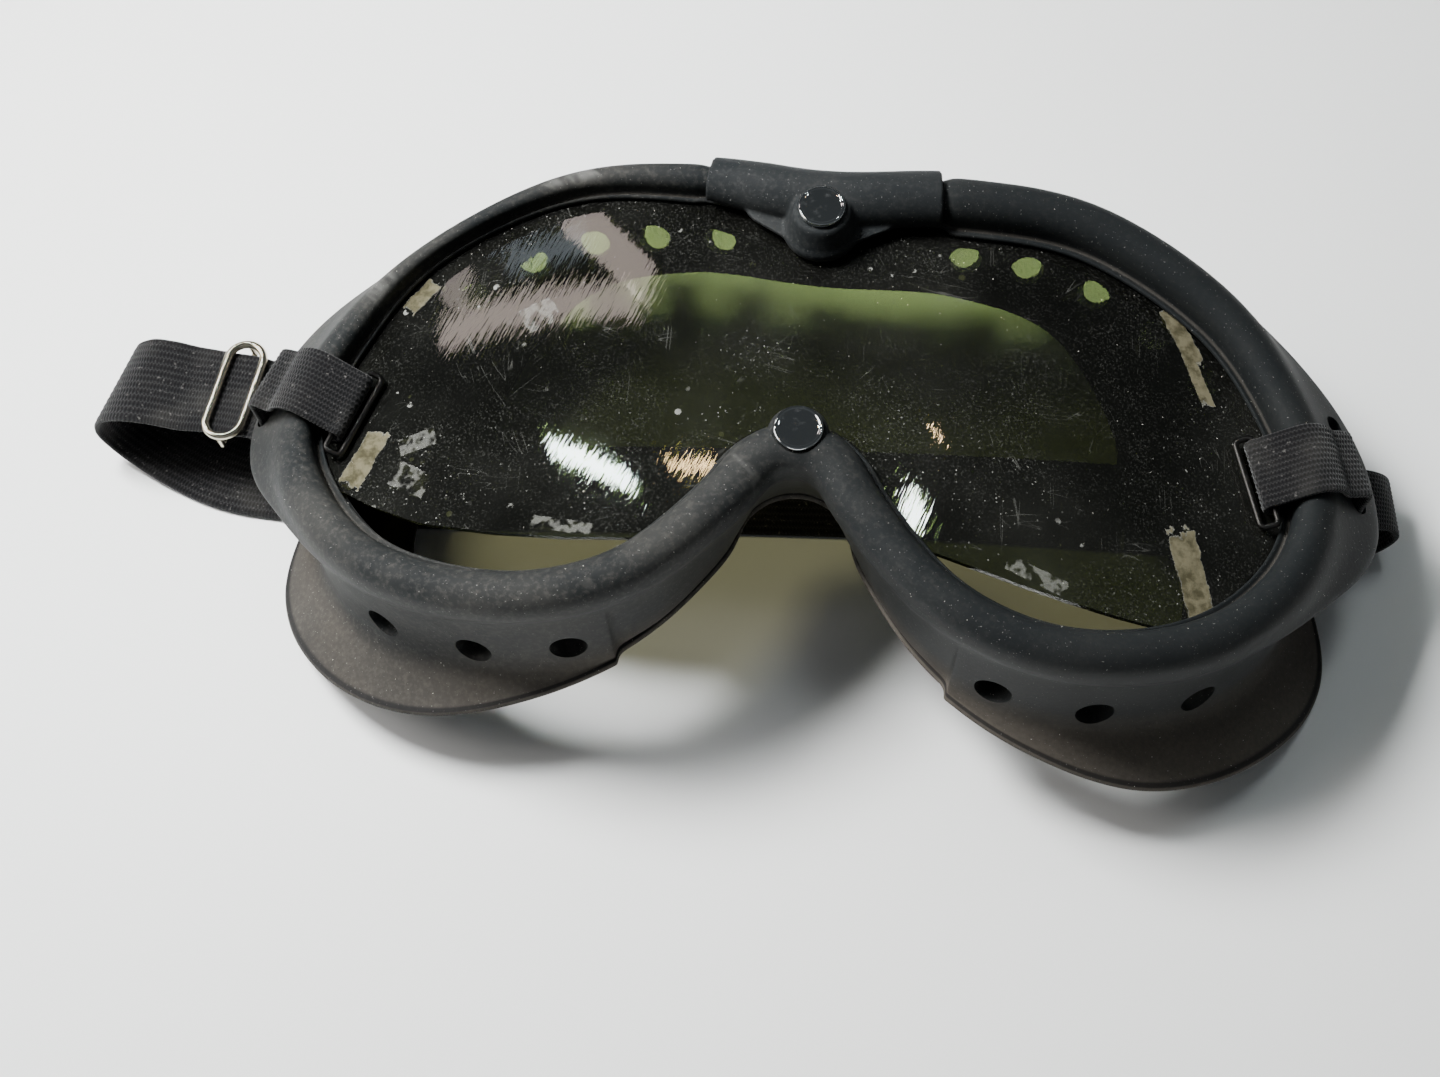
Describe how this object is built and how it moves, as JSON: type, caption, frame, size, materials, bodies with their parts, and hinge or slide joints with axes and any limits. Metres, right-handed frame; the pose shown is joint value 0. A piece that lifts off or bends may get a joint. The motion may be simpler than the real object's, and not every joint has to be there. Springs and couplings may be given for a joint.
{
  "type": "protective goggles",
  "caption": "One-lens eye goggles with a rubber frame, a tinted curved lens, a snap-down top flap, wire links and an elastic headband with a slider.",
  "frame": {"origin": "middle of the plane that the face side of the frame rests on, on the plane of symmetry, between the forehead and the nose", "axes": "+X along the frame's width to the wearer's left, +Y to the forehead, +Z out of the lens, away from the face"},
  "size_m": [0.243, 0.1063, 0.051],
  "materials": {
    "frame_rubber": "matt moulded rubber, dusty, worn lighter on ridges",
    "flap_rubber": "matt moulded rubber, smooth, slightly greyed",
    "lens": "dark green tinted sheet, glossy, scratched and dusty",
    "snap_chrome": "bright plated cap, lightly scratched",
    "snap_brass": "plated brass, worn",
    "snap_steel": "plated steel, worn",
    "link_wire": "blackened wire, worn to bare steel on its bends",
    "elastic": "ribbed woven elastic, ribs along its length",
    "slider_wire": "tarnished plated wire"
  },
  "bodies": {
    "root": {"frame": "frame_rubber", "lens": "lens", "headband": "elastic", "top_snap_stud": "snap_steel", "top_snap_post": "snap_brass", "nose_snap_cap": "snap_chrome", "nose_snap_socket": "snap_brass", "nose_snap_spring": "snap_steel", "nose_snap_stud": "snap_steel", "nose_snap_post": "snap_brass"},
    "flap": {"top_flap": "flap_rubber", "top_snap_cap": "snap_chrome", "top_snap_socket": "snap_brass", "top_snap_spring": "snap_steel"},
    "link_left": {"link_left": "link_wire"},
    "link_right": {"link_right": "link_wire"},
    "slider": {"slider_ring": "slider_wire", "slider_bar": "slider_wire"}
  },
  "joints": [
    {"name": "flap_hinge", "type": "hinge", "parent": "root", "child": "flap", "pos_m": [0, 0.0515, 0.0443], "axis": [-1, 0, 0], "range_deg": [0, 110]},
    {"name": "link_left_hinge", "type": "hinge", "parent": "root", "child": "link_left", "pos_m": [-0.08055, 0.00196, 0.03198], "axis": [-0.3257, -0.9394, -0.1066], "range_deg": [0, 16]},
    {"name": "link_right_hinge", "type": "hinge", "parent": "root", "child": "link_right", "pos_m": [0.07847, 0.00221, 0.03261], "axis": [-0.2876, 0.9533, 0.0918], "range_deg": [0, 16]},
    {"name": "slider_slide", "type": "slide", "parent": "root", "child": "slider", "axis": [0.9962, -0.0872, 0], "range_m": [-0.003, 0.003]}
  ]
}
